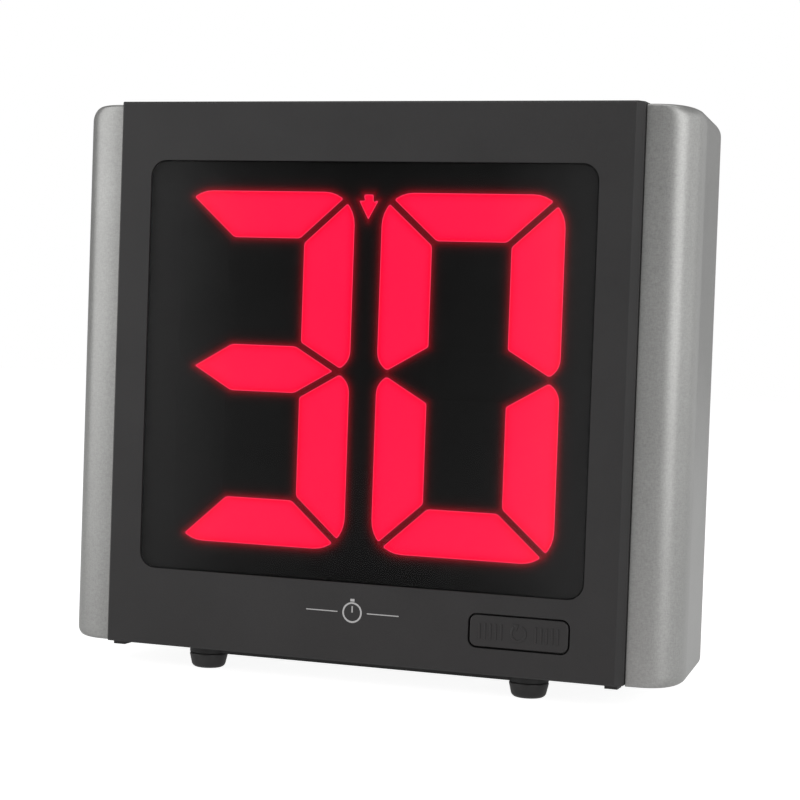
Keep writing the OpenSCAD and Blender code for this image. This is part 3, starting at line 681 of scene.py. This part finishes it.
def glow_at(points):
    """How much light each point takes from the lit outlines, falling off with its distance from each."""
    total = np.zeros(len(points))
    for outline in lit_outlines:
        near, inside = edge_distance(points, outline)
        total += np.exp(-np.where(inside, 0, near) / GLOW_REACH)
    return np.minimum(total, 1.0)


for node, on in segments.items():
    if on:
        diffuser(node, looks["segment"], "rim", lambda points, rim: rim)
    else:
        diffuser(node, looks["mask"], "glow", lambda points, rim: glow_at(points))


def glowing_mask():
    """The mask as a fine grid, so that the spill round each segment falls off smoothly."""
    xs = np.linspace(mask_low.x, mask_high.x, round((mask_high.x - mask_low.x) / GLOW_PITCH) + 1)
    zs = np.linspace(mask_low.z, mask_high.z, round((mask_high.z - mask_low.z) / GLOW_PITCH) + 1)
    front = mask_low.y + MASK_RECESS
    grid = np.array([(x, z) for z in zs for x in xs])
    glow = glow_at(grid)
    bm = bmesh.new()
    layer = bm.verts.layers.float.new("glow")
    verts = [bm.verts.new((x, front, z)) for x, z in grid]
    for v, value in zip(verts, glow):
        v[layer] = value
    wide = len(xs)
    for j in range(len(zs) - 1):
        for i in range(wide - 1):
            k = j * wide + i
            bm.faces.new((verts[k], verts[k + 1], verts[k + wide + 1], verts[k + wide]))
    rim = [e for e in bm.edges if e.is_boundary]
    made = bmesh.ops.extrude_edge_only(bm, edges=rim)["geom"]
    bmesh.ops.translate(bm, verts=[v for v in made if isinstance(v, bmesh.types.BMVert)],
                        vec=(0, mask_high.y - front, 0))
    piece = add_piece("display_mask_plate", bm, looks["mask"], BODY)
    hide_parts("display_mask")


glowing_mask()

# ------------------------------------------------------------------ reset bar and printing

ICON_RISE = 0.28 * MM
ICON_SINK = 0.6 * MM
ICON_EDGE = 0.12 * MM
ARROW_OUTER_R = 3.5 * MM
ARROW_INNER_R = 2.5 * MM
ARROW_START = 125
ARROW_SWEEP = 300
ARROW_HEAD_HALF = 1.7 * MM
ARROW_HEAD_LENGTH = 2.4 * MM
RIDGES = 5
RIDGE_FIRST = 7.2 * MM
RIDGE_PITCH = 2.3 * MM
RIDGE_HALF_W = 0.45 * MM
RIDGE_HALF_H = 3.2 * MM


def reset_icon():
    """A circular arrow between two rows of ridges, raised on the reset bar."""
    cx = (reset_low.x + reset_high.x) / 2
    cz = (reset_low.z + reset_high.z) / 2
    turn = math.radians(ARROW_START)
    out = Vector((math.cos(turn), math.sin(turn)))
    ahead = Vector((out.y, -out.x))
    root = Vector((cx, cz)) + out * (ARROW_OUTER_R + ARROW_INNER_R) / 2
    head = [root - out * ARROW_HEAD_HALF, root + out * ARROW_HEAD_HALF, root + ahead * ARROW_HEAD_LENGTH]
    outlines = [
        ring_outline(cx, cz, ARROW_OUTER_R, ARROW_INNER_R, ARROW_START, ARROW_START + ARROW_SWEEP),
        [(p.x, p.y) for p in head],
    ]
    for side in (-1, 1):
        for i in range(RIDGES):
            x = cx + side * (RIDGE_FIRST + RIDGE_PITCH * i)
            outlines.append(bar(x - RIDGE_HALF_W, cz - RIDGE_HALF_H, x + RIDGE_HALF_W, cz + RIDGE_HALF_H))
    bm = bmesh.new()
    for outline in outlines:
        prism(bm, outline, face_y - ICON_RISE, face_y + ICON_SINK, ICON_EDGE)
    add_piece("reset_icon", bm, looks["reset_button"], "reset_key")


reset_icon()

PRINT_RISE = 0.03 * MM
PRINT_SINK = 0.05 * MM
PRINT_UP = 22.8 * MM
DIAL_OUTER_R = 4.3 * MM
DIAL_INNER_R = 3.6 * MM
HAND_HALF = 0.28 * MM
HAND_LENGTH = 2.7 * MM
CROWN_HALF = 0.9 * MM
CROWN_LOW = 4.6 * MM
CROWN_HIGH = 5.7 * MM
RULE_X = 13.5 * MM
RULE_HALF = 7 * MM
RULE_HALF_H = 0.2 * MM


def face_print():
    """A stopwatch between two rules, printed on the chin under the window."""
    z = front_low.z + PRINT_UP
    outlines = [
        ring_outline(0, z, DIAL_OUTER_R, DIAL_INNER_R, 0, 359.9),
        bar(-HAND_HALF, z, HAND_HALF, z + HAND_LENGTH),
        bar(-CROWN_HALF, z + CROWN_LOW, CROWN_HALF, z + CROWN_HIGH),
    ]
    for side in (-1, 1):
        x = side * RULE_X
        outlines.append(bar(x - RULE_HALF, z - RULE_HALF_H, x + RULE_HALF, z + RULE_HALF_H))
    bm = bmesh.new()
    for outline in outlines:
        prism(bm, outline, face_y - PRINT_RISE, face_y + PRINT_SINK)
    add_piece("face_print", bm, ink, BODY, smooth=False)


face_print()

# ------------------------------------------------------------------ rear keys

KEY_TIP_R = 1.7 * MM
KEY_TIP_D = 1.6 * MM
KEY_SHANK_R = 2.2 * MM
KEY_FLANGE_W = 1.2 * MM
KEY_FLANGE_LOW = 5.6 * MM
KEY_FLANGE_HIGH = 4.3 * MM
KEY_ROUND = 0.6 * MM
KEY_DISH = 0.25 * MM


def rear_key(node):
    """A turned key: its tip on the switch, a shank, a flange inside the wall and a dished top."""
    low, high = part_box(node)
    flange_r = (high.x - low.x) / 2
    cap_r = flange_r - KEY_FLANGE_W
    tip, top = low.y, high.y
    shoulder, flange_low, flange_high = tip + KEY_TIP_D, top - KEY_FLANGE_LOW, top - KEY_FLANGE_HIGH
    profile = [(ON_AXIS, tip), (KEY_TIP_R, tip), (KEY_TIP_R, shoulder), (KEY_SHANK_R, shoulder)]
    profile += [(KEY_SHANK_R, flange_low), (flange_r, flange_low)]
    profile += [(flange_r, flange_high), (cap_r, flange_high)]
    profile += arc(cap_r - KEY_ROUND, top - KEY_ROUND, KEY_ROUND, KEY_ROUND, 0, 80, 6)
    profile += [(cap_r * 0.5, top - KEY_DISH + 0.07 * MM), (ON_AXIS, top - KEY_DISH)]
    bm = bmesh.new()
    lathe(bm, profile, ((low.x + high.x) / 2, 0, (low.z + high.z) / 2), "Y", 48)
    piece = add_piece(node + "_cap", bm, looks["key"], body_of[node])
    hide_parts(node)


for name in ("set_button", "up_button", "down_button"):
    rear_key(name)

# ------------------------------------------------------------------ stage

FLOOR_HALF = 4.0
FLOOR_GLOW = 0.32
FLOOR_SHOWN = 0.92
ROOM_GLOW = 0.25
ROOM_SHOWN = 1.0


def softbox(name, place, size, watts):
    """A rectangular light that faces the timer's middle."""
    data = bpy.data.lights.new(name, "AREA")
    data.shape = "RECTANGLE"
    data.size, data.size_y = size
    data.energy = watts
    lamp = bpy.data.objects.new(name, data)
    lamp.location = place
    towards = (cad_low + cad_high) / 2 - Vector(place)
    lamp.rotation_euler = towards.to_track_quat("-Z", "Y").to_euler()
    bpy.context.scene.collection.objects.link(lamp)


softbox("left_softbox", (-1.25, -0.92, 0.25), (1.5, 1.6), 12.0)
softbox("front_right_softbox", (1.03, -0.92, 0.25), (0.80, 1.6), 8.8)
softbox("right_softbox", (1.42, 0.10, 0.45), (1.5, 1.3), 5.0)
softbox("rear_right_softbox", (0.95, 1.15, 0.40), (1.2, 1.4), 2.2)
softbox("top_softbox", (0.0, -0.3, 1.5), (1.6, 1.2), 7.0)

# A white room that lights the timer less than it shows to the camera.
world = bpy.data.worlds.new("studio")
bpy.context.scene.world = world
world.use_nodes = True
tree = world.node_tree
for old in list(tree.nodes):
    tree.nodes.remove(old)
path = tree.nodes.new("ShaderNodeLightPath")
chosen = tree.nodes.new("ShaderNodeMixShader")
shown = tree.nodes.new("ShaderNodeOutputWorld")
tree.links.new(path.outputs["Is Camera Ray"], chosen.inputs[0])
for socket, strength in ((1, ROOM_GLOW), (2, ROOM_SHOWN)):
    white = tree.nodes.new("ShaderNodeBackground")
    white.inputs["Color"].default_value = (1, 1, 1, 1)
    white.inputs["Strength"].default_value = strength
    tree.links.new(white.outputs[0], chosen.inputs[socket])
tree.links.new(chosen.outputs[0], shown.inputs["Surface"])

# A floor that glows a little on the timer, and enough to look white to the camera.
paper = Shader("floor", roughness=0.8, specular=0.1, base_color=(0.5, 0.5, 0.5), emission_color=(1, 1, 1))
seen = paper.node("LightPath").outputs["Is Camera Ray"]
paper.feed(paper.surface.inputs["Emission Strength"], paper.between(seen, FLOOR_GLOW, FLOOR_SHOWN, 0, 1))
bm = bmesh.new()
bmesh.ops.create_grid(bm, x_segments=8, y_segments=8, size=FLOOR_HALF)
floor_mesh = bpy.data.meshes.new("floor")
bm.to_mesh(floor_mesh)
bm.free()
floor_mesh.materials.append(paper.material)
floor = bpy.data.objects.new("floor", floor_mesh)
bpy.context.scene.collection.objects.link(floor)

# ------------------------------------------------------------------ camera

# Where the camera stands, the way from the timer to it, and its own right-hand direction.
EYE = Vector((0.3064, -0.86205, 0.15054))
BACK = Vector((0.33375, -0.94199, 0.03542)).normalized()
RIGHT = Vector((0.9416, 0.33492, 0.03479)).normalized()

scene = bpy.context.scene
camera_data = bpy.data.cameras.new("camera")
camera_data.sensor_width = 36
camera_data.lens = 94.97
camera_data.clip_start = 0.05
camera_data.clip_end = 30
camera = bpy.data.objects.new("camera", camera_data)
up = BACK.cross(RIGHT).normalized()
camera.matrix_world = Matrix.Translation(EYE) @ Matrix((up.cross(BACK), up, BACK)).transposed().to_4x4()
scene.collection.objects.link(camera)
scene.camera = camera

scene.view_settings.view_transform = "Standard"
scene.view_settings.look = "None"
